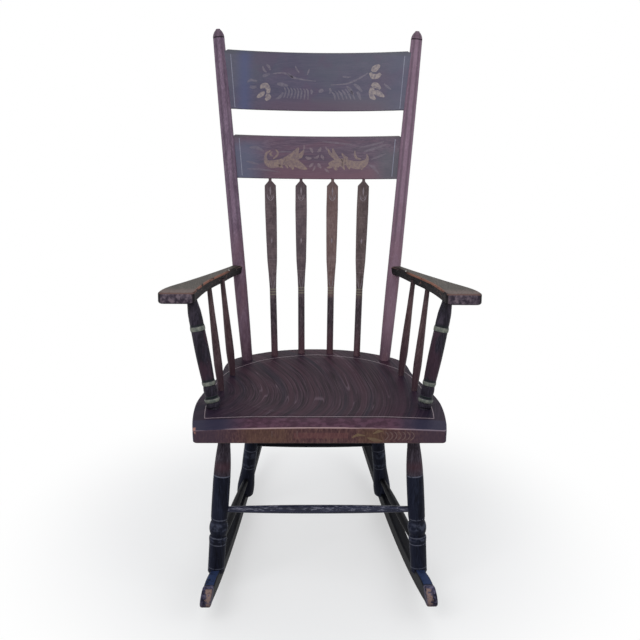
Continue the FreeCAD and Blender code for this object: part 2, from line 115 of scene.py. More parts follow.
class Paint:
    """One material in the making: each method adds shader nodes and gives back their output."""

    def __init__(self, name):
        self.material = bpy.data.materials.new(name)
        self.material.use_nodes = True
        self.tree = self.material.node_tree
        self.tree.nodes.clear()
        coordinates = self.node("ShaderNodeTexCoord")
        self.place = coordinates.outputs["Object"]
        self.facing = coordinates.outputs["Normal"]
        self.x, self.y, self.z = self.split(self.place)
        self.facing_x, self.facing_y, self.facing_z = self.split(self.facing)

    def node(self, kind, *inputs, **settings):
        made = self.tree.nodes.new(kind)
        for key, value in settings.items():
            setattr(made, key, value)
        for socket, value in zip(made.inputs, inputs):
            self.feed(socket, value)
        return made

    def feed(self, socket, value):
        if isinstance(value, bpy.types.NodeSocket):
            self.tree.links.new(value, socket)
        elif value is not None:
            socket.default_value = value

    def split(self, vector):
        return self.node("ShaderNodeSeparateXYZ", vector).outputs

    def math(self, operation, *inputs):
        return self.node("ShaderNodeMath", *inputs, operation=operation).outputs[0]

    def both(self, first, second):
        return self.math("MULTIPLY", first, second)

    def either(self, first, second):
        return self.math("MAXIMUM", first, second)

    def rise(self, value, low, high):
        """0 below low, 1 above high and smooth between."""
        made = self.node("ShaderNodeMapRange", value, low, high, 0.0, 1.0)
        made.interpolation_type = "SMOOTHSTEP"
        return made.outputs[0]

    def band(self, value, low, high, soft):
        """1 from low to high, with edges that fade over twice soft."""
        up = self.rise(value, low - soft, low + soft)
        down = self.rise(value, high + soft, high - soft)
        return self.both(up, down)

    def noise(self, size, stretch=(1, 1, 1), detail=3.0, rough=0.55, bend=0.0, place=None):
        """Noise with features of that size in millimetres, longer along a small stretch."""
        scaled = self.node("ShaderNodeVectorMath", place or self.place, stretch,
                           operation="MULTIPLY").outputs[0]
        made = self.node("ShaderNodeTexNoise", scaled)
        for name, value in (("Scale", 1000 / size), ("Detail", detail), ("Roughness", rough),
                            ("Distortion", bend)):
            made.inputs[name].default_value = value
        return made.outputs["Fac"]

    def ramp(self, value, *stops):
        """Colours along a value: each stop is a position and a screen colour."""
        made = self.node("ShaderNodeValToRGB", value)
        elements = made.color_ramp.elements
        while len(elements) < len(stops):
            elements.new(0.5)
        for element, (position, colour) in zip(elements, stops):
            element.position = position
            element.color = screen(*colour)
        return made.outputs["Color"]

    def mix(self, share, first, second):
        made = self.node("ShaderNodeMix", data_type="RGBA")
        self.feed(made.inputs[0], share)
        self.feed(made.inputs[6], first)
        self.feed(made.inputs[7], second)
        return made.outputs[2]

    def over(self, base, share, colour, amount=1.0):
        """A screen colour laid over base where share is 1, as thick as the amount says."""
        return self.mix(self.both(share, amount), base, screen(*colour))

    def along(self, axis):
        """Height in millimetres of the plane that crosses a leaning axis here. It serves the
        left-hand piece too, because it measures x from the middle of the chair."""
        foot, top = at(*axis[0]), at(*axis[1])
        direction = (top - foot).normalized()
        right = self.node("ShaderNodeCombineXYZ", self.math("ABSOLUTE", self.x), self.y, self.z)
        dot = self.node("ShaderNodeVectorMath", right.outputs[0], tuple(direction),
                        operation="DOT_PRODUCT").outputs["Value"]
        distance = self.math("SUBTRACT", dot, foot.dot(direction))
        return self.math("MULTIPLY_ADD", distance, 1000 * direction.z, axis[0][2])

    def finish(self, colour, roughness, gloss, bump, bump_depth, metallic=0.0):
        """Closes the material. Roughness is a number or an output, gloss the specular level and
        bump_depth is in millimetres."""
        shader = self.node("ShaderNodeBsdfPrincipled")
        self.feed(shader.inputs["Base Color"], colour)
        self.feed(shader.inputs["Roughness"], roughness)
        shader.inputs["Specular IOR Level"].default_value = gloss
        shader.inputs["Metallic"].default_value = metallic
        bumped = self.node("ShaderNodeBump")
        bumped.inputs["Strength"].default_value = BUMP_STRENGTH
        bumped.inputs["Distance"].default_value = bump_depth / 1000
        self.feed(bumped.inputs["Height"], bump)
        self.feed(shader.inputs["Normal"], bumped.outputs["Normal"])
        output = self.node("ShaderNodeOutputMaterial")
        self.tree.links.new(shader.outputs[0], output.inputs["Surface"])
        return self.material


def grained(paint, grain, dark, middle, light):
    """Streaky paint: grain is the stretch of the streaks, small along them."""
    fine = paint.noise(2.2, grain, detail=4.0, rough=0.6)
    broad = paint.noise(16, grain, detail=2.0, bend=0.6)
    streaks = paint.math("MULTIPLY_ADD", fine, 0.6, paint.both(broad, 0.4))
    return paint.ramp(streaks, (0.36, dark), (0.5, middle), (0.64, light)), streaks


def speckled(paint, colour, amount, size, tone):
    """Small worn spots where the paint has gone."""
    spots = paint.noise(size, detail=5.0, rough=0.7)
    clouds = paint.noise(size * 14, detail=2.0)
    worn = paint.both(paint.rise(spots, 0.66 - amount, 0.74 - amount),
                      paint.rise(clouds, 0.45, 0.62))
    return paint.over(colour, worn, tone, 0.7)


ALONG_X = (0.05, 1, 1)
ALONG_Y = (1, 0.05, 1)
ALONG_Z = (1, 1, 0.05)


def crest_colour(paint):
    """Blue-plum paint: bluer at the left end, redder low down, with a grey haze of painted sheen in
    the middle.
    """
    colour, streaks = grained(paint, ALONG_X, (71, 69, 90), (80, 75, 96), (90, 82, 103))
    # Painted sheen: a grey haze in patches, where the glossy board would reflect light.
    haze = paint.noise(75, (0.5, 1, 1), detail=3.0, bend=0.4)
    colour = paint.over(colour, paint.rise(haze, 0.4, 0.62), (86, 88, 102), 0.55)
    plum = paint.noise(60, detail=2.0, bend=0.5)
    colour = paint.over(colour, paint.rise(plum, 0.52, 0.68), (90, 72, 94), 0.4)
    blue = paint.band(paint.x, -0.182, -0.158, 0.016)
    colour = paint.over(colour, blue, (76, 84, 124), 0.65)
    end = paint.rise(paint.x, 0.15, 0.19)
    colour = paint.over(colour, end, (78, 80, 104), 0.4)
    red = paint.both(paint.rise(paint.z, 1.015, 0.985), paint.band(paint.x, -0.13, 0.16, 0.04))
    colour = paint.over(colour, red, (96, 72, 88), 0.5)
    rim = paint.rise(paint.z, 1.098, 1.111)
    return paint.over(colour, rim, (66, 72, 72), 0.45), streaks


def lower_rail_colour(paint):
    """Plum paint in bands, with a pale blue haze of painted sheen on the left and a grey-green
    right end.
    """
    colour, streaks = grained(paint, (0.06, 1, 1), (74, 62, 80), (90, 73, 90), (108, 90, 106))
    broad = paint.noise(24, (0.12, 1, 1), detail=2.0, bend=0.8)
    colour = paint.over(colour, paint.rise(broad, 0.5, 0.64), (104, 76, 92), 0.5)
    colour = paint.over(colour, paint.rise(broad, 0.45, 0.34), (76, 72, 84), 0.4)
    # Painted sheen: a pale blue haze over the left part of the board.
    blue = paint.both(paint.rise(paint.x, -0.1, -0.17), paint.rise(paint.z, 0.925, 0.895))
    colour = paint.over(colour, blue, (90, 96, 120), 0.7)
    red = paint.both(paint.rise(paint.z, 0.875, 0.835), paint.band(paint.x, -0.12, 0.15, 0.05))
    colour = paint.over(colour, red, (112, 78, 90), 0.55)
    end = paint.both(paint.rise(paint.x, 0.125, 0.165), paint.rise(paint.z, 0.91, 0.88))
    colour = paint.over(colour, end, (76, 80, 90), 0.6)
    rim = paint.rise(paint.z, 0.916, 0.927)
    return paint.over(colour, rim, (70, 72, 70), 0.5), streaks


def rail_paint(name, colours):
    paint = Paint(name)
    colour, streaks = colours(paint)
    edge = paint.rise(paint.math("ABSOLUTE", paint.facing_z), 0.55, 0.8)
    colour = paint.over(colour, edge, (96, 96, 88), 0.5)
    roughness = paint.rise(paint.noise(60), 0.1, 0.9)
    roughness = paint.math("MULTIPLY_ADD", roughness, 0.2, 0.3)
    return paint.finish(colour, roughness, 0.3, streaks, 0.12)


def gold_paint(name, colours, low, high, strong):
    """Bronze powder on the board's paint, rubbed thin in patches."""
    paint = Paint(name)
    colour, streaks = colours(paint)
    rubbed = paint.noise(8, detail=4.0, rough=0.6)
    grain = paint.noise(5, detail=4.0, rough=0.6)
    gold = paint.ramp(grain, (0.36, low), (0.62, high))
    share = paint.math("MULTIPLY_ADD", paint.rise(rubbed, 0.3, 0.5), 0.45, 0.55)
    return paint.finish(paint.mix(paint.both(share, strong), colour, gold), 0.42, 0.35,
                        streaks, 0.08)


def post_paint():
    paint = Paint("post_paint")
    colour, streaks = grained(paint, ALONG_Z, (94, 76, 94), (117, 97, 116), (140, 119, 138))
    patches = paint.noise(30, (1, 1, 0.2), detail=3.0)
    low = paint.rise(paint.z, 0.95, 0.6)
    colour = paint.over(colour, paint.rise(patches, 0.5, 0.66), (120, 94, 112), 0.35)
    colour = paint.over(colour, paint.both(paint.rise(patches, 0.5, 0.36), low), (92, 60, 62), 0.5)
    # Painted light: the right-hand post is lighter and pinker, as if lit more brightly than the
    # left.
    right = paint.rise(paint.x, 0.0, 0.1)
    colour = paint.over(colour, right, (160, 130, 146), 0.42)
    # Painted shade: the post darkens towards the seat, below the arm.
    foot = paint.rise(paint.z, 0.52, 0.425)
    colour = paint.over(colour, foot, (62, 44, 56), 0.6)
    # Painted shade: the side of the post that faces the back is darker.
    painted_back_shade = paint.rise(paint.facing_y, -0.35, 0.1)
    colour = paint.over(colour, painted_back_shade, (52, 44, 56), 0.6)
    edge = paint.both(paint.band(paint.math("ABSOLUTE", paint.facing_x), 0.3, 0.62, 0.08),
                      paint.rise(paint.z, 0.66, 0.72))
    colour = paint.over(colour, edge, (58, 48, 60), 0.4)
    height = paint.along(BACK_POST)
    groove = paint.band(height, 1136.4, 1139.2, 0.6)
    colour = paint.over(colour, groove, (26, 20, 26), 0.85)
    cap = paint.rise(height, 1139, 1141)
    colour = paint.over(colour, cap, (84, 70, 78), 0.5)
    brown = paint.both(paint.rise(paint.z, 0.78, 0.6), paint.rise(patches, 0.36, 0.6))
    colour = paint.over(colour, brown, (112, 78, 82), 0.45)
    colour = speckled(paint, colour, 0.06, 5, (160, 142, 148))
    return paint.finish(colour, 0.5, 0.12, streaks, 0.15)


def spindle_paint(name, axis, dark, middle, light):
    """Blades with fine cross hatching, olive rings below them and a streaky dark rod."""
    paint = Paint(name)
    colour, streaks = grained(paint, ALONG_Z, dark, middle, light)
    height = paint.along(axis)
    lines = paint.math("SINE", paint.both(height, 1.9))
    combed = paint.both(paint.rise(lines, 0.0, 0.8), paint.rise(paint.noise(22), 0.42, 0.58))
    blade = paint.band(height, 590, 790, 14)
    colour = paint.over(colour, paint.both(combed, blade), (138, 118, 120), 0.5)
    shoulder = paint.rise(height, 796, 812)
    colour = paint.over(colour, shoulder, (78, 62, 66), 0.4)
    for low in (560, 566, 572):
        ring = paint.band(height, low, low + 2.4, 0.5)
        colour = paint.over(colour, ring, (134, 128, 110), 0.8)
    for low in (641, 612):
        line = paint.band(height, low, low + 1, 0.5)
        colour = paint.over(colour, line, (136, 120, 124), 0.6)
    rod = paint.rise(height, 556, 548)
    shade = paint.ramp(streaks, (0.38, (46, 36, 42)), (0.5, (68, 57, 64)), (0.62, (96, 82, 88)))
    colour = paint.mix(rod, colour, shade)
    red = paint.both(paint.rise(height, 500, 430), 0.6)
    colour = paint.over(colour, red, (86, 54, 62))
    return paint.finish(colour, 0.48, 0.2, streaks, 0.12)


def side_spindle_paint():
    paint = Paint("side_spindle_paint")
    colour, streaks = grained(paint, ALONG_Z, (52, 34, 38), (80, 59, 63), (106, 86, 88))
    # Painted shade: the spindle darkens towards the seat and, at its top, under the arm.
    low = paint.rise(paint.z, 0.56, 0.44)
    colour = paint.over(colour, low, (56, 36, 46), 0.75)
    high = paint.rise(paint.z, 0.6, 0.63)
    colour = paint.over(colour, high, (48, 36, 40), 0.5)
    return paint.finish(colour, 0.46, 0.2, streaks, 0.12)


def arm_post_paint():
    """Blue-black turning with pale green rings and reddish streaks of painted highlight down the
    long cylinder.
    """
    paint = Paint("arm_post_paint")
    colour, streaks = grained(paint, ALONG_Z, (22, 19, 25), (36, 32, 42), (58, 52, 64))
    height = paint.along(ARM_POST)
    patches = paint.rise(paint.noise(18, (1, 1, 0.15), detail=3.0), 0.44, 0.6)
    # Painted highlight: purple-brown streaks down the long cylinder.
    red = paint.both(paint.band(height, 482, 584, 6), patches)
    colour = paint.over(colour, red, (66, 44, 56), 0.6)
    # Painted highlight: pale patches on the swelling above the top ring.
    swell_highlight = paint.both(paint.rise(height, 598, 604), patches)
    colour = paint.over(colour, swell_highlight, (76, 68, 80), 0.5)
    for low, high in ((432.5, 440.5), (469, 477), (585, 594)):
        ring = paint.band(height, low, high, 0.5)
        pale = paint.ramp(paint.noise(7, detail=4.0), (0.4, (98, 104, 98)), (0.6, (136, 138, 128)))
        colour = paint.mix(paint.both(ring, 0.92), colour, pale)
    for low, high in ((442, 446), (478.5, 481), (595.5, 598)):
        ring = paint.band(height, low, high, 0.6)
        colour = paint.over(colour, ring, (22, 34, 32), 0.8)
    colour = speckled(paint, colour, 0.03, 4, (110, 104, 112))
    return paint.finish(colour, 0.48, 0.1, streaks, 0.1)


def dark_paint():
    """Blue-black paint of the low side rails."""
    paint = Paint("dark_paint")
    colour, streaks = grained(paint, ALONG_Y, (6, 6, 10), (12, 13, 19), (24, 26, 34))
    return paint.finish(colour, 0.5, 0.05, streaks, 0.12)


def leg_paint(name, axis, purple_above, lines):
    """Purple-brown under the seat, blue-black below, with thin pale lines, each given by its
    lower and upper height and how strong it is."""
    paint = Paint(name)
    colour, streaks = grained(paint, ALONG_Z, (12, 13, 21), (22, 24, 36), (38, 42, 58))
    height = paint.along(axis)
    # Painted light: the side of the leg that faces left is lighter and bluer.
    left = paint.rise(paint.math("MULTIPLY", paint.facing_x, -1.0), 0.1, 0.8)
    colour = paint.over(colour, left, (36, 40, 60), 0.35)
    # Painted highlight: a speckled pale sheen on the bead and on the ring below it.
    bead_highlight = paint.either(paint.band(height, 158, 174, 3), paint.band(height, 133, 140, 2))
    bead_highlight = paint.both(bead_highlight, paint.rise(paint.noise(9, detail=2.0), 0.4, 0.62))
    colour = paint.over(colour, bead_highlight, (86, 90, 108), 0.42)
    warm = paint.ramp(streaks, (0.36, (38, 31, 38)), (0.5, (60, 52, 61)), (0.64, (90, 82, 92)))
    colour = paint.mix(paint.rise(height, purple_above - 3, purple_above + 3), colour, warm)
    red = paint.band(height, purple_above + 12, purple_above + 30, 8)
    colour = paint.over(colour, red, (76, 48, 54), 0.45)
    for low, high, amount in lines:
        ring = paint.band(height, low, high, 0.7)
        gone = paint.rise(paint.noise(7), 0.32, 0.48)
        colour = paint.over(colour, paint.both(ring, gone), (96, 98, 112), amount)
    colour = speckled(paint, colour, 0.03, 4, (66, 68, 82))
    return paint.finish(colour, 0.5, 0.06, streaks, 0.12)


def stretcher_paint():
    """Blue paint, rubbed pale along the top by feet."""
    paint = Paint("stretcher_paint")
    colour, streaks = grained(paint, ALONG_X, (20, 22, 34), (34, 36, 54), (52, 55, 76))
    rubbed = paint.noise(5, (0.3, 1, 1), detail=5.0, rough=0.75)
    clouds = paint.noise(50, (0.6, 1, 1))
    upward = paint.rise(paint.facing_z, -0.35, 0.3)
    worn = paint.both(paint.rise(rubbed, 0.5, 0.6), paint.rise(clouds, 0.36, 0.5))
    colour = paint.over(colour, paint.both(worn, upward), (118, 118, 134), 0.8)
    return paint.finish(colour, 0.42, 0.2, streaks, 0.12)


def rocker_paint():
    """Blue-black boards: steel blue on the top of the front, rubbed by shoes and with a painted sky
    sheen, bare wood at the noses.
    """
    paint = Paint("rocker_paint")
    colour, streaks = grained(paint, ALONG_Y, (5, 6, 10), (10, 11, 17), (22, 24, 32))
    rubbed = paint.noise(11, detail=5.0, rough=0.7)
    # Steel blue on the upward-facing front: rubbed paint with a painted sheen of the sky over it.
    front = paint.rise(paint.y, -0.23, -0.27)
    upward = paint.rise(paint.facing_z, 0.6, 0.9)
    worn = paint.both(paint.both(front, upward), paint.rise(rubbed, 0.34, 0.5))
    colour = paint.over(colour, worn, (50, 64, 100), 0.8)
    ragged = paint.math("MULTIPLY_ADD", paint.noise(9, detail=3.0), 0.012, paint.y)
    # Painted shadow: a dark ragged band across the rocker in the notch just behind the nose.
    notch_shadow = paint.band(ragged, -0.336, -0.329, 0.001)
    colour = paint.over(colour, notch_shadow, (16, 16, 26), 0.8)
    nose = paint.rise(ragged, -0.331, -0.338)
    mottled = paint.ramp(rubbed, (0.38, (30, 29, 42)), (0.48, (64, 60, 80)), (0.58, (102, 96, 116)))
    colour = paint.mix(paint.both(nose, 0.9), colour, mottled)
    inner = paint.math("SUBTRACT", paint.math("ABSOLUTE", paint.x), NOSE_X / 1000)
    inner = paint.math("MULTIPLY_ADD", rubbed, 0.03, inner)
    bare = paint.both(paint.both(nose, paint.rise(inner, 0.0125, 0.0105)),
                      paint.rise(paint.facing_y, -0.3, -0.5))
    bare = paint.both(bare, paint.rise(paint.noise(6, detail=4.0), 0.38, 0.46))
    colour = paint.over(colour, bare, (142, 118, 110), 0.85)
    tip = paint.both(paint.rise(paint.y, -0.35, -0.36), paint.rise(paint.z, 0.06, 0.045))
    colour = paint.over(colour, paint.both(tip, paint.rise(rubbed, 0.4, 0.5)), (72, 44, 46), 0.8)
    return paint.finish(colour, 0.55, 0.04, streaks, 0.12)


def seat_swirls(paint):
    """Three noises that run in wide swirls: fine lines, broad bands and a few thin lines."""
    middle = at(*SWIRL_MIDDLE)
    across = paint.math("SUBTRACT", paint.x, middle.x)
    back = paint.math("SUBTRACT", paint.y, middle.y)
    radius = paint.math("SQRT", paint.math("ADD", paint.both(across, across),
                                           paint.both(back, back)))
    wobble = paint.noise(190, detail=1.0)
    radius = paint.math("MULTIPLY_ADD", wobble, SWIRL_WAVER, radius)
    turn = paint.both(paint.math("ARCTAN2", back, across), SWIRL_STRETCH)
    polar = paint.node("ShaderNodeCombineXYZ", radius, turn, 0.0).outputs[0]
    fine = paint.noise(3, detail=3.0, place=polar)
    broad = paint.noise(22, detail=2.0, place=polar)
    lines = paint.noise(15, detail=0.0, place=polar)
    return fine, broad, lines


def seat_paint():
    """Purple-brown top combed in wide swirls, a browner front face and worn pale edges."""
    paint = Paint("seat_paint")
    fine, broad, lines = seat_swirls(paint)
    colour = paint.ramp(fine, (0.36, (32, 20, 29)), (0.5, (48, 32, 43)), (0.66, (66, 47, 59)))
    colour = paint.over(colour, paint.rise(broad, 0.46, 0.62), (68, 42, 54), 0.5)
    colour = paint.over(colour, paint.rise(broad, 0.46, 0.34), (32, 32, 46), 0.4)
    thin = paint.rise(paint.math("ABSOLUTE", paint.math("SUBTRACT", lines, 0.52)), 0.014, 0.003)
    faded = paint.rise(paint.noise(70, detail=2.0), 0.4, 0.58)
    colour = paint.over(colour, paint.both(thin, faded), (104, 86, 98), 0.55)
    wide = paint.math("ABSOLUTE", paint.x)
    side = paint.rise(wide, 0.13, 0.25)
    colour = paint.over(colour, side, (34, 32, 48), 0.6)
    rim = paint.rise(paint.y, (SEAT_FRONT_Y + 46) / 1000, (SEAT_FRONT_Y + 40) / 1000)
    spots = paint.rise(paint.noise(16, detail=3.0), 0.4, 0.6)
    band = paint.mix(spots, screen(68, 40, 56), screen(94, 62, 80))
    band = paint.over(band, paint.rise(wide, 0.14, 0.21), (52, 50, 70))
    colour = paint.mix(paint.both(rim, 0.75), colour, band)
    face = paint.rise(paint.facing_y, -0.5, -0.85)
    rays = paint.noise(3.5, (1, 1, 0.35), detail=4.0, rough=0.65)
    brown = paint.ramp(rays, (0.34, (70, 48, 52)), (0.5, (89, 63, 65)), (0.66, (110, 82, 76)))
    warm = paint.both(paint.band(paint.x, -0.16, -0.06, 0.02), paint.noise(18, detail=3.0))
    brown = paint.over(brown, warm, (104, 80, 62), 0.7)
    worn = paint.both(paint.band(paint.x, -0.055, 0.058, 0.0012),
                      paint.band(paint.z, 0.394, 0.407, 0.0008))
    brown = paint.over(brown, worn, (118, 78, 78), 0.4)
    gold = paint.both(paint.band(paint.x, 0.085, 0.135, 0.02), paint.noise(12, detail=3.0))
    brown = paint.over(brown, gold, (100, 78, 52), 0.7)
    ends = paint.rise(wide, 0.14, 0.235)
    brown = paint.over(brown, ends, (70, 58, 72), 0.75)
    colour = paint.mix(face, colour, brown)
    sloping = paint.band(paint.facing_y, -0.9, -0.2, 0.06)
    arris = paint.both(sloping, paint.rise(paint.facing_z, 0.15, 0.4))
    rubbed = paint.rise(paint.noise(12, ALONG_X, detail=4.0, rough=0.7), 0.34, 0.46)
    pale = paint.mix(paint.rise(wide, 0.12, 0.22), screen(172, 146, 146), screen(128, 114, 126))
    colour = paint.mix(paint.both(paint.both(arris, rubbed), 0.9), colour, pale)
    under = paint.both(sloping, paint.rise(paint.facing_z, -0.15, -0.4))
    colour = paint.over(colour, under, (126, 104, 100), 0.8)
    back_edge = paint.both(paint.band(paint.facing_z, 0.3, 0.93, 0.06),
                           paint.rise(paint.facing_y, -0.25, 0.0))
    colour = paint.over(colour, back_edge, (92, 86, 98), 0.35)
    near = paint.rise(paint.y, (SEAT_FRONT_Y + 16) / 1000, (SEAT_FRONT_Y + 10) / 1000)
    corner = paint.both(paint.rise(paint.x, -0.256, -0.26), near)
    chip = paint.both(corner, paint.band(paint.z, 0.404, 0.42, 0.002))
    flaked = paint.rise(paint.noise(7, detail=5.0, rough=0.7), 0.46, 0.52)
    colour = paint.over(colour, paint.both(chip, flaked), (186, 136, 122), 0.8)
    return paint.finish(colour, 0.5, 0.05, fine, 0.12)


def arm_paint():
    """Dark paint with a brown-grey top of painted reflection and bare tan wood along the inner
    edge.
    """
    paint = Paint("arm_paint")
    colour, streaks = grained(paint, ALONG_Y, (20, 18, 21), (31, 28, 31), (44, 41, 43))
    # Painted reflection: the top of the arm is a lighter brown-grey, as if it caught a glancing
    # light.
    top = paint.rise(paint.facing_z, 0.8, 0.97)
    grey = paint.ramp(streaks, (0.36, (50, 46, 42)), (0.5, (66, 60, 55)), (0.64, (86, 79, 72)))
    colour = paint.mix(top, colour, grey)
    outward = paint.both(paint.facing_x, paint.math("SIGN", paint.x))
    rubbed = paint.noise(15, (1, 0.3, 1), detail=5.0, rough=0.7)
    inner_edge = paint.both(paint.band(paint.facing_z, 0.3, 0.985, 0.06),
                            paint.rise(outward, -0.02, -0.2))
    handled = paint.band(paint.y, -0.15, 0.06, 0.03)
    bare = paint.both(paint.both(inner_edge, handled), paint.rise(rubbed, 0.36, 0.5))
    colour = paint.over(colour, bare, (142, 98, 82), 0.85)
    flakes = paint.rise(paint.noise(6, (1, 0.4, 1), detail=5.0, rough=0.7), 0.58, 0.62)
    chipped = paint.both(paint.both(paint.rise(outward, -0.85, -0.95), handled), flakes)
    colour = paint.over(colour, chipped, (112, 88, 84), 0.7)
    grip = paint.both(top, paint.rise(paint.y, -0.115, -0.15))
    colour = paint.over(colour, paint.both(grip, paint.rise(rubbed, 0.3, 0.5)), (112, 92, 88), 0.6)
    end = paint.rise(paint.facing_y, -0.7, -0.9)
    mottled = paint.ramp(paint.noise(9, detail=4.0), (0.38, (56, 48, 58)), (0.5, (82, 72, 82)),
                         (0.62, (116, 102, 110)))
    colour = paint.mix(end, colour, mottled)
    front_edge = paint.both(paint.band(paint.facing_y, -0.85, -0.3, 0.08),
                            paint.rise(paint.facing_z, 0.3, 0.5))
    colour = paint.over(colour, front_edge, (136, 106, 100), 0.5)
    return paint.finish(colour, 0.5, 0.06, streaks, 0.15)


def plain_paint(name, dark, middle, light, roughness):
    paint = Paint(name)
    colour, streaks = grained(paint, (1, 1, 1), dark, middle, light)
    return paint.finish(colour, roughness, 0.4, streaks, 0.05)


def metal_paint():
    paint = Paint("nail_metal")
    tarnish = paint.noise(1.2, detail=4.0)
    colour = paint.ramp(tarnish, (0.35, (120, 116, 110)), (0.6, (190, 188, 184)))
    return paint.finish(colour, 0.35, 0.5, tarnish, 0.03, metallic=1.0)


# Painted ornament: strips of film laid on the wood

class Film:
    """Strips of paint on one CAD node, gathered into one piece."""

    def __init__(self, name, node, view):
        self.name = name
        self.view = Vector(view)
        mesh = NODES[node].data
        self.wood = BVHTree.FromPolygons([v.co for v in mesh.vertices],
                                         [p.vertices for p in mesh.polygons])
        self.points = []
        self.faces = []

    def land(self, place):
        """Where a line of sight through a place meets the wood, and the way the wood faces."""
        start = place - self.view * 0.5
        hit, normal, _, _ = self.wood.ray_cast(start, self.view)
        if hit is None:
            return None
        return hit, normal if normal.dot(self.view) < 0 else -normal

    def strip(self, path, widths):
        """One strip along a path of places, with its width in millimetres at each."""
        rows = []
        for index, (place, width) in enumerate(zip(path, widths)):
            before = path[max(index - 1, 0)]
            after = path[min(index + 1, len(path) - 1)]
            aside = (after - before).cross(self.view)
            if aside.length < 1e-9:
                continue
            aside = aside.normalized() * max(width, 0.3) / 2000
            landed = [self.land(place + aside), self.land(place - aside)]
            if None in landed:
                continue
            rows.append(landed)
        if len(rows) > 1:
            self.add(rows)

    def add(self, rows):
        first = len(self.points)
        for landed in rows:
            for hit, normal in landed:
                self.points.append(hit + normal * FILM_PROUD / 1000)
            for hit, normal in landed:
                self.points.append(hit - normal * FILM_DEEP / 1000)
        for index in range(len(rows) - 1):
            a = first + 4 * index
            b = a + 4
            self.faces += [(a, a + 1, b + 1, b), (a + 2, b + 2, b + 3, a + 3),
                           (a, b, b + 2, a + 2), (a + 1, a + 3, b + 3, b + 1)]
        last = first + 4 * (len(rows) - 1)
        self.faces += [(first, first + 2, first + 3, first + 1),
                       (last, last + 1, last + 3, last + 2)]

    def piece(self, material, slot):
        mesh = bpy.data.meshes.new(self.name)
        mesh.from_pydata(self.points, [], self.faces)
        mesh.materials.append(material)
        made = bpy.data.objects.new(self.name, mesh)
        bpy.context.scene.collection.objects.link(made)
        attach(made, "root")
        return made


def smooth_path(corners, steps):
    """A smooth line through the corners, as places."""
    path = []
    last = len(corners) - 1
    for index in range(last):
        before = corners[max(index - 1, 0)]
        start, end = corners[index], corners[index + 1]
        after = corners[min(index + 2, last)]
        for step in range(steps):
            t = step / steps
            path.append(0.5 * (2 * start + (end - before) * t
                               + (2 * before - 5 * start + 4 * end - after) * t ** 2
                               + (3 * start - before - 3 * end + after) * t ** 3))
    path.append(corners[last])
    return path


def spread(widths, count):
    """Widths given at a few places, spread over count places."""
    result = []
    for index in range(count):
        where = index / (count - 1) * (len(widths) - 1)
        low = min(int(where), len(widths) - 2)
        result.append(widths[low] + (widths[low + 1] - widths[low]) * (where - low))
    return result


def front(x, z):
    return at(x, 0, z)


def brush(film, corners, widths, steps=6):
    """A stroke through front-view corners (x, z) with changing width."""
    path = smooth_path([front(x, z) for x, z in corners], steps)
    film.strip(path, spread(widths, len(path)))


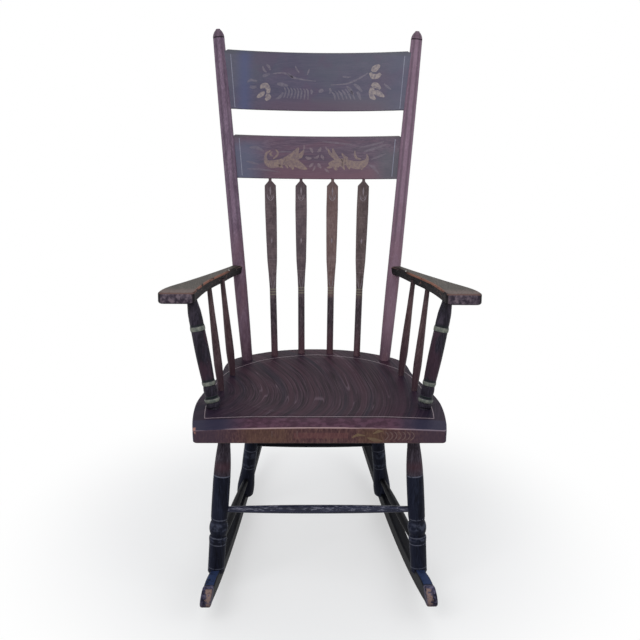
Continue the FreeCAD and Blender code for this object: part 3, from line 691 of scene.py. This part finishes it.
# Stencil strokes as seen from the front: the corners of each (x, z), then its widths.
CREST_LEAVES = [
    (((-133, 1026), (-128, 1031), (-120, 1032), (-115, 1024), (-115, 1015)),
     (3.4, 11, 12, 11, 6.9)),
    (((-123, 1018), (-132, 1012), (-141, 1006)), (2.3, 10, 9.2, 2.3)),
    (((-120, 1012), (-114, 1007), (-121, 1000)), (6.9, 12, 5.8)),
    (((127, 1066), (135, 1073), (145, 1080)), (4.6, 14, 12, 4.6)),
    (((123, 1063), (129, 1055), (140, 1056), (147, 1062)), (5.8, 12, 10, 6)),
    (((127, 1032), (136, 1036), (147, 1028)), (6.9, 13, 12, 4.6)),
    (((129, 1029), (126, 1020), (128, 1010), (136, 1005)), (9.2, 12, 12, 3.7)),
    (((132, 1020), (143, 1018), (156, 1011)), (6.9, 12, 11, 2.8)),
]
CREST_PALE = [
    (((-157, 1031), (-150, 1029), (-142, 1030)), (5.1, 6.9, 4.6)),
    (((-128, 1053), (-122, 1054), (-112, 1058)), (3.7, 6.9, 4.6)),
    (((-141, 1042), (-155, 1045), (-163, 1040)), (3.4, 6, 2.8)),
    (((-119, 1078), (-114, 1074), (-110, 1066)), (3.2, 6, 2.3)),
    (((-128, 1075), (-125, 1067), (-119, 1061)), (2.3, 5.1, 2.3)),
    (((-104, 1058), (-78, 1059), (-55, 1049), (-31, 1044), (-3, 1041)), (2.3, 4.1, 4.1, 3.2, 1.4)),
    (((-69, 1059), (-62, 1052), (-52, 1046)), (2.8, 6.9, 2.8)),
    (((31, 1033), (64, 1036), (83, 1042), (104, 1053), (118, 1062)), (1.4, 3.2, 4.1, 3.7, 1.8)),
    (((-94, 1036), (-85, 1034), (-69, 1031)), (3.4, 9.2, 3.4)),
    (((68, 1031), (76, 1024), (85, 1012)), (2.3, 8.3, 3.7)),
    (((85, 1036), (94, 1031), (104, 1020)), (3.4, 7.8, 4.6)),
    (((94, 1020), (98, 1011), (101, 1002)), (5.8, 6.9, 3.4)),
    (((3, 1018), (9, 1020), (14, 1022)), (4.6, 9.2, 4.6)),
    (((29, 1026), (31, 1020), (28, 1014)), (3.2, 5.5, 2.3)),
    (((-15, 1022), (-13, 1018), (-14, 1012)), (3.7, 6, 2.8)),
    (((-52, 1075), (-49, 1068), (-43, 1060)), (1.8, 4.1, 2.8)),
    (((-19, 1068), (-21, 1062), (-24, 1055)), (2.3, 4.1, 1.8)),
    (((59, 1052), (69, 1051), (78, 1052)), (1.8, 4.1, 1.8)),
    (((155, 1040), (162, 1034), (171, 1028)), (2.3, 5.5, 2.3)),
    (((-97, 1002), (-87, 1007), (-80, 1016)), (2.3, 6.9, 3.2)),
    (((-78, 1028), (-74, 1018), (-79, 1004)), (1.6, 4.4, 2.1)),
    (((-71, 1028), (-66, 1018), (-71, 1004)), (1.6, 4.4, 2.1)),
    (((-63, 1027), (-59, 1018), (-63, 1003)), (1.6, 4.4, 2.1)),
    (((-56, 1026), (-51, 1018), (-55, 1002)), (1.6, 4.4, 2.1)),
    (((-48, 1026), (-44, 1018), (-47, 1002)), (1.6, 4.4, 2.1)),
    (((-41, 1025), (-37, 1018), (-39, 1001)), (1.6, 4.4, 2.1)),
    (((-33, 1024), (-29, 1018), (-31, 1000)), (1.6, 4.4, 2.1)),
    (((-26, 1024), (-22, 1018), (-22, 1000)), (1.6, 4.4, 2.1)),
    (((33, 1018), (40, 1011), (42, 1000)), (1.6, 5.1, 2.1)),
    (((41, 1020), (48, 1012), (51, 1001)), (1.6, 5.1, 2.1)),
    (((49, 1021), (56, 1013), (61, 1001)), (1.6, 5.1, 2.1)),
    (((57, 1023), (65, 1014), (70, 1002)), (1.6, 5.1, 2.1)),
    (((65, 1025), (73, 1015), (79, 1002)), (1.6, 5.1, 2.1)),
    (((73, 1027), (81, 1016), (88, 1002)), (1.6, 5.1, 2.1)),
]
RAIL_SCROLLS = [
    (((-109, 888), (-118, 883), (-121, 873), (-118, 863), (-108, 858), (-93, 859), (-79, 863),
      (-65, 866)), (2.1, 5.1, 6.4, 11, 17, 17, 15, 12)),
    (((-97, 890), (-92, 883), (-96, 875), (-103, 870)), (1.8, 4.4, 4.6, 1.8)),
    (((-103, 876), (-110, 880), (-105, 886)), (1.8, 4.4, 2.1)),
    (((-79, 867), (-63, 872), (-50, 882), (-44, 894)), (7.8, 15, 14, 2.8)),
    (((-51, 869), (-39, 876), (-31, 888)), (6.9, 11, 2.8)),
    (((-93, 855), (-86, 853), (-79, 849)), (5.8, 6, 1.6)),
    (((-79, 863), (-73, 856), (-68, 848)), (6.9, 6.4, 1.8)),
    (((-70, 864), (-60, 855), (-56, 845)), (10, 12, 3.2)),
    (((-65, 866), (-49, 859), (-35, 851), (-23, 845)), (13, 17, 13, 2.8)),
    (((116, 882), (118, 872), (110, 861), (95, 857), (79, 859), (68, 864), (56, 866)),
     (2.1, 6.4, 15, 18, 16, 12, 9.2)),
    (((89, 889), (89, 879), (94, 872), (104, 871)), (1.8, 5.3, 5.5, 1.8)),
    (((68, 863), (51, 861), (37, 859), (27, 858)), (13, 17, 13, 3.2)),
    (((71, 870), (64, 875), (58, 882)), (7.8, 6.4, 1.8)),
    (((53, 864), (43, 874), (37, 892)), (10, 12, 2.8)),
    (((39, 873), (31, 881), (25, 892)), (5.5, 6.4, 1.8)),
    (((56, 858), (61, 853), (65, 845)), (9.2, 7.4, 1.8)),
    (((71, 858), (74, 853), (77, 847)), (7.4, 6.9, 2.3)),
    (((104, 856), (106, 852), (104, 846)), (6.9, 5.5, 1.8)),
    (((49, 858), (44, 850), (47, 844)), (12, 11, 3.2)),
    (((40, 858), (32, 852), (23, 849)), (7.8, 7.4, 1.8)),
]
RAIL_PETALS = [
    (((-31, 900), (-30, 894), (-32, 887)), (1.4, 4.6, 1.8)),
    (((-17, 893), (-13, 888), (-10, 882)), (2.3, 6.9, 2.3)),
    (((1, 884), (6, 888), (9, 894)), (2.3, 6.9, 2.8)),
    (((20, 896), (23, 891), (29, 886)), (1.8, 4.1, 1.8)),
    (((-27, 873), (-21, 870), (-13, 870)), (2.8, 6.9, 3.2)),
    (((-7, 871), (0, 872), (4, 877)), (2.3, 5.5, 2.3)),
    (((9, 877), (13, 873), (16, 867)), (3.2, 6.9, 2.3)),
    (((-8, 859), (-13, 855), (-18, 850)), (2.3, 6.9, 2.8)),
    (((3, 859), (5, 854), (10, 848)), (2.8, 7.4, 2.3)),
    (((-5, 853), (-6, 848), (-10, 842)), (1.8, 4.6, 1.8)),
    (((18, 847), (23, 843), (29, 839)), (1.8, 5.5, 1.8)),
]
RAIL_SMEARS = [
    (((110, 888), (130, 894), (161, 906)), (1.8, 6, 2.3)),
    (((100, 897), (128, 903), (156, 912)), (1.4, 4.6, 1.8)),
    (((126, 871), (144, 878), (161, 886)), (1.8, 5.1, 1.8)),
    (((121, 859), (133, 853), (144, 840)), (2.3, 7.4, 2.8)),
    (((-158, 897), (-142, 896), (-125, 888)), (2.3, 8.3, 2.3)),
    (((-165, 867), (-151, 863), (-137, 859)), (1.8, 5.1, 1.8)),
    (((-95, 884), (-79, 885), (-58, 884)), (1.4, 2.8, 1.4)),
    (((12, 907), (44, 905), (82, 902)), (1.4, 4.6, 1.8)),
    (((-163, 850), (-128, 847), (-86, 840)), (1.8, 4.6, 1.4)),
]


def stencil(name, node, strokes):
    film = Film(name, node, (0, 1, 0))
    for corners, widths in strokes:
        brush(film, corners, widths)
    return film


def spindle_ornament(film, axis, side):
    """A flame over two cupped leaves, a small diamond and a pale V where the rod starts."""
    (foot_x, _, foot_z), (top_x, _, top_z) = axis
    slope = side * (top_x - foot_x) / (top_z - foot_z)

    def put(across, drop):
        z = top_z - drop
        return side * foot_x + slope * (z - foot_z) + across, z

    brush(film, [put(0, 17), put(0, 26), put(0, 37)], [0.4, 4, 0.4])
    for way in (-1, 1):
        brush(film, [put(way * 7.5, 34), put(way * 5.5, 43), put(0, 49)], [0.5, 2.6, 0.6])
        brush(film, [put(way * 3.6, 36), put(way * 2.8, 41), put(0, 44)], [0.3, 1.4, 0.4])
        brush(film, [put(way * 5.4, 222), put(way * 4, 236), put(way * 0.8, 250)],
              [0.4, 1.8, 0.8])
    brush(film, [put(0, 134), put(0, 139), put(0, 146)], [0.4, 4.2, 0.4])


def board_stripes():
    """A thin pale line just inside each end of both back boards."""
    films = []
    for node, inner, low, high in (("crest_rail", 191.4, 987, 1103),
                                   ("lower_back_rail", 174.5, 836, 919)):
        film = Film(node + "_stripes", node, (0, 1, 0))
        for side in (-1, 1):
            lean = 0.0873 * (high - low)
            brush(film, [(side * inner, low), (side * (inner + lean), high)], [1.7, 1.7], steps=12)
        films.append(film)
    return films


def seat_stripes():
    """A pinstripe round the seat, inside its edge."""
    film = Film("seat_stripes", "seat", (0, 0, -1))
    half = [(0, 392), (62, 381), (122, 360), (172, 322), (205, 285), (226, 225), (238, 150),
            (243, 90), (242, 50)]
    corners = [at(-x, y, 420) for x, y in reversed(half)] + [at(x, y, 420) for x, y in half[1:]]
    path = smooth_path(corners, 10)
    film.strip(path, [1.6] * len(path))
    path = smooth_path([at(x, 50, 420) for x in (-242, -120, 0, 120, 242)], 12)
    film.strip(path, [2.2] * len(path))
    return film


def seat_face_ornament():
    """On the right of the front face: a row of pale chevrons and two gold leaves before it."""
    pale = Film("seat_face_chevrons", "seat", (0, 1, 0))
    for number in range(7):
        tip = 142 + number * 9
        for way in (-1, 1):
            brush(pale, [(tip - 8, 400 + way * 10), (tip - 3, 400 + way * 6), (tip, 400)],
                  [0.6, 2.2, 1.2])
    for x in (-100, -48):
        brush(pale, [(x, 411), (x, 404), (x, 397)], [1.4, 1.4, 1.0])
    gold = Film("seat_face_leaves", "seat", (0, 1, 0))
    brush(gold, [(110, 405), (120, 410), (130, 411)], [1, 7, 1])
    brush(gold, [(97, 396), (113, 391), (130, 388)], [1, 9, 1])
    brush(gold, [(66, 396), (78, 402), (94, 400)], [1, 7, 1])
    return pale, gold


def nail_head(name, place, radius):
    """A small domed nail head that faces up, its radius in millimetres."""
    radius = radius / 1000
    rings, sides = 4, 16
    points = [place + Vector((0, 0, radius * 0.45))]
    for ring in range(1, rings + 1):
        tilt = math.pi / 2 * ring / rings
        for side in range(sides):
            turn = 2 * math.pi * side / sides
            points.append(place + Vector((radius * math.sin(tilt) * math.cos(turn),
                                          radius * math.sin(tilt) * math.sin(turn),
                                          radius * 0.45 * math.cos(tilt))))
    faces = [(0, 1 + side, 1 + (side + 1) % sides) for side in range(sides)]
    for ring in range(rings - 1):
        for side in range(sides):
            a = 1 + ring * sides + side
            b = 1 + ring * sides + (side + 1) % sides
            faces.append((a, a + sides, b + sides, b))
    faces.append(tuple(1 + (rings - 1) * sides + side for side in reversed(range(sides))))
    mesh = bpy.data.meshes.new(name)
    mesh.from_pydata(points, [], faces)
    for polygon in mesh.polygons:
        polygon.use_smooth = len(polygon.vertices) < 5
    made = bpy.data.objects.new(name, mesh)
    bpy.context.scene.collection.objects.link(made)
    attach(made, "root")
    return made


# The dressed chair

def dress(node, material):
    data = NODES[node].data
    data.materials.clear()
    data.materials.append(material)


def dress_chair():
    pairs = {"back_post": post_paint(), "arm": arm_paint(), "arm_post": arm_post_paint(),
             "rocker": rocker_paint()}
    side_spindles = side_spindle_paint()
    pairs["arm_spindle_front"] = side_spindles
    pairs["arm_spindle_rear"] = side_spindles
    pairs["front_leg"] = leg_paint("front_leg_paint", FRONT_LEG, 283,
                                   [(280.5, 283, 1), (181.5, 184, 0.9), (140, 141.5, 0.7),
                                    (124, 126, 0.8), (69, 71, 0.6)])
    pairs["rear_leg"] = leg_paint("rear_leg_paint", REAR_LEG, 300,
                                  [(177, 179.5, 0.7), (126, 128.5, 0.6)])
    stretchers = stretcher_paint()
    pairs["side_stretcher"] = dark_paint()
    for name, material in pairs.items():
        dress(name + "_left", material)
        dress(name + "_right", material)
    dress("seat", seat_paint())
    dress("crest_rail", rail_paint("crest_paint", crest_colour))
    dress("lower_back_rail", rail_paint("lower_rail_paint", lower_rail_colour))
    dress("front_stretcher", stretchers)
    dress("rear_stretcher", pairs["side_stretcher"])
    tones = [(OUTER_SPINDLE, -1, (70, 58, 62), (88, 74, 79), (104, 92, 96)),
             (INNER_SPINDLE, -1, (68, 57, 62), (84, 71, 77), (100, 88, 93)),
             (INNER_SPINDLE, 1, (90, 70, 68), (109, 88, 87), (128, 108, 104)),
             (OUTER_SPINDLE, 1, (68, 56, 57), (87, 73, 74), (106, 92, 90))]
    pale = plain_paint("pale_paint", (108, 96, 104), (126, 114, 122), (142, 130, 136), 0.5)
    for number, (axis, side, dark, middle, light) in enumerate(tones, 1):
        node = f"arrow_spindle_{number}"
        dress(node, spindle_paint(node + "_paint", axis, dark, middle, light))
        film = Film(f"spindle_ornament_{number}", node, (0, 1, 0))
        spindle_ornament(film, axis, side)
        film.piece(pale, "spindle")
    dress("foot_pins", plain_paint("pin_paint", (52, 40, 34), (74, 58, 48), (96, 76, 62), 0.6))
    dress("arm_screws", plain_paint("screw_paint", (26, 24, 26), (40, 37, 39), (56, 52, 54), 0.5))
    metal = metal_paint()
    gold = gold_paint("crest_gold", crest_colour, (118, 108, 116), (158, 145, 140), 0.95)
    stencil("crest_leaves", "crest_rail", CREST_LEAVES).piece(gold, "rail")
    gold = gold_paint("crest_pale_gold", crest_colour, (102, 96, 110), (128, 120, 130), 0.6)
    stencil("crest_feathers", "crest_rail", CREST_PALE).piece(gold, "rail")
    gold = gold_paint("rail_gold", lower_rail_colour, (120, 102, 104), (148, 128, 114), 0.75)
    stencil("rail_scrolls", "lower_back_rail", RAIL_SCROLLS).piece(gold, "rail")
    gold = gold_paint("rail_pale_gold", lower_rail_colour, (116, 102, 110), (140, 124, 130), 0.6)
    stencil("rail_petals", "lower_back_rail", RAIL_PETALS).piece(gold, "rail")
    gold = gold_paint("rail_smear", lower_rail_colour, (106, 96, 108), (122, 112, 124), 0.5)
    stencil("rail_smears", "lower_back_rail", RAIL_SMEARS).piece(gold, "rail")
    stripe = plain_paint("rail_stripe_paint", (110, 112, 130), (128, 128, 146), (146, 146, 160),
                         0.5)
    for film in board_stripes():
        film.piece(stripe, "rail")
    stripe = plain_paint("seat_stripe_paint", (100, 86, 94), (124, 108, 116), (146, 130, 138), 0.5)
    seat_stripes().piece(stripe, "seat")
    chevrons, leaves = seat_face_ornament()
    chevrons.piece(plain_paint("face_pale_paint", (84, 64, 62), (98, 76, 74), (116, 94, 90), 0.5),
                   "seat")
    leaves.piece(plain_paint("face_leaf_paint", (88, 68, 52), (104, 82, 60), (124, 100, 72), 0.5),
                 "seat")
    for side, hand in ((-1, "left"), (1, "right")):
        top, _ = Film("arm_top", "arm_" + hand, (0, 0, -1)).land(at(side * 202, 343, 660))
        nail = nail_head("arm_nail_" + hand, top - Vector((0, 0, 0.0004)), 2.6)
        nail.data.materials.append(metal)


# Surroundings

def floor_paint():
    """A pale floor that fades into a white background away from the chair."""
    material = bpy.data.materials.new("floor_paint")
    material.use_nodes = True
    tree = material.node_tree
    tree.nodes.clear()
    diffuse = tree.nodes.new("ShaderNodeBsdfDiffuse")
    diffuse.inputs["Color"].default_value = (FLOOR_SEEN, FLOOR_SEEN, FLOOR_SEEN, 1)
    dull = tree.nodes.new("ShaderNodeBsdfDiffuse")
    dull.inputs["Color"].default_value = (FLOOR_THROWN, FLOOR_THROWN, FLOOR_THROWN, 1)
    glow = tree.nodes.new("ShaderNodeEmission")
    glow.inputs["Color"].default_value = (1, 1, 1, 1)
    place = tree.nodes.new("ShaderNodeTexCoord")
    reach = tree.nodes.new("ShaderNodeVectorMath")
    reach.operation = "LENGTH"
    tree.links.new(place.outputs["Object"], reach.inputs[0])
    fade = tree.nodes.new("ShaderNodeMapRange")
    fade.interpolation_type = "SMOOTHSTEP"
    tree.links.new(reach.outputs["Value"], fade.inputs["Value"])
    fade.inputs["From Min"].default_value = FLOOR_FADE[0]
    fade.inputs["From Max"].default_value = FLOOR_FADE[1]
    fade.inputs["To Min"].default_value = FLOOR_WHITE
    pale = tree.nodes.new("ShaderNodeMixShader")
    tree.links.new(fade.outputs[0], pale.inputs["Fac"])
    tree.links.new(diffuse.outputs[0], pale.inputs[1])
    tree.links.new(glow.outputs[0], pale.inputs[2])
    blend = tree.nodes.new("ShaderNodeMixShader")
    tree.links.new(seen_ray(tree), blend.inputs["Fac"])
    tree.links.new(dull.outputs[0], blend.inputs[1])
    tree.links.new(pale.outputs[0], blend.inputs[2])
    output = tree.nodes.new("ShaderNodeOutputMaterial")
    tree.links.new(blend.outputs[0], output.inputs["Surface"])
    return material


def seen_ray(tree):
    """1 for rays from the camera, off a shiny surface or through glass."""
    path = tree.nodes.new("ShaderNodeLightPath")
    total = path.outputs["Is Camera Ray"]
    for name in ("Is Glossy Ray", "Is Transmission Ray"):
        most = tree.nodes.new("ShaderNodeMath")
        most.operation = "MAXIMUM"
        tree.links.new(total, most.inputs[0])
        tree.links.new(path.outputs[name], most.inputs[1])
        total = most.outputs[0]
    return total


def floor():
    half = 30
    mesh = bpy.data.meshes.new("floor")
    mesh.from_pydata([(-half, -half, 0), (half, -half, 0), (half, half, 0), (-half, half, 0)], [],
                     [(0, 1, 2, 3)])
    mesh.materials.append(floor_paint())
    made = bpy.data.objects.new("floor", mesh)
    bpy.context.scene.collection.objects.link(made)


def world():
    made = bpy.data.worlds.new("studio")
    bpy.context.scene.world = made
    made.use_nodes = True
    tree = made.node_tree
    tree.nodes.clear()
    soft = tree.nodes.new("ShaderNodeBackground")
    soft.inputs["Color"].default_value = (0.93, 0.96, 1, 1)
    soft.inputs["Strength"].default_value = 0.55
    white = tree.nodes.new("ShaderNodeBackground")
    white.inputs["Color"].default_value = (1, 1, 1, 1)
    white.inputs["Strength"].default_value = 1
    blend = tree.nodes.new("ShaderNodeMixShader")
    tree.links.new(seen_ray(tree), blend.inputs["Fac"])
    tree.links.new(soft.outputs[0], blend.inputs[1])
    tree.links.new(white.outputs[0], blend.inputs[2])
    output = tree.nodes.new("ShaderNodeOutputWorld")
    tree.links.new(blend.outputs[0], output.inputs["Surface"])


def lamp(name, place, size, power):
    """A soft square lamp that points at the middle of the chair."""
    data = bpy.data.lights.new(name, "AREA")
    data.size = size
    data.energy = power
    made = bpy.data.objects.new(name, data)
    made.location = place
    towards = Vector((0, 0, 0.6)) - Vector(place)
    made.rotation_euler = towards.to_track_quat("-Z", "Y").to_euler()
    bpy.context.scene.collection.objects.link(made)


def camera():
    yaw, pitch, roll = (math.radians(a) for a in (CAMERA_YAW, CAMERA_PITCH, CAMERA_ROLL))
    forward = Vector((math.sin(yaw) * math.cos(pitch), math.cos(yaw) * math.cos(pitch),
                      -math.sin(pitch)))
    level = Vector((math.cos(yaw), -math.sin(yaw), 0))
    down = forward.cross(level)
    right = level * math.cos(roll) + down * math.sin(roll)
    up = level * math.sin(roll) - down * math.cos(roll)
    data = bpy.data.cameras.new("camera")
    data.lens = CAMERA_LENS
    made = bpy.data.objects.new("camera", data)
    turn = Matrix((right, up, -forward)).transposed().to_4x4()
    made.matrix_world = Matrix.Translation(at(*CAMERA_PLACE)) @ turn
    bpy.context.scene.collection.objects.link(made)
    bpy.context.scene.camera = made


camera()
dress_chair()
floor()
world()
lamp("key", (-1.6, -2.4, 3.0), 2.2, 48)
lamp("fill", (2.4, -1.8, 2.2), 2.2, 22)
lamp("back", (0.3, 2.4, 2.6), 2.0, 20)
bpy.context.scene.view_settings.view_transform = "Standard"
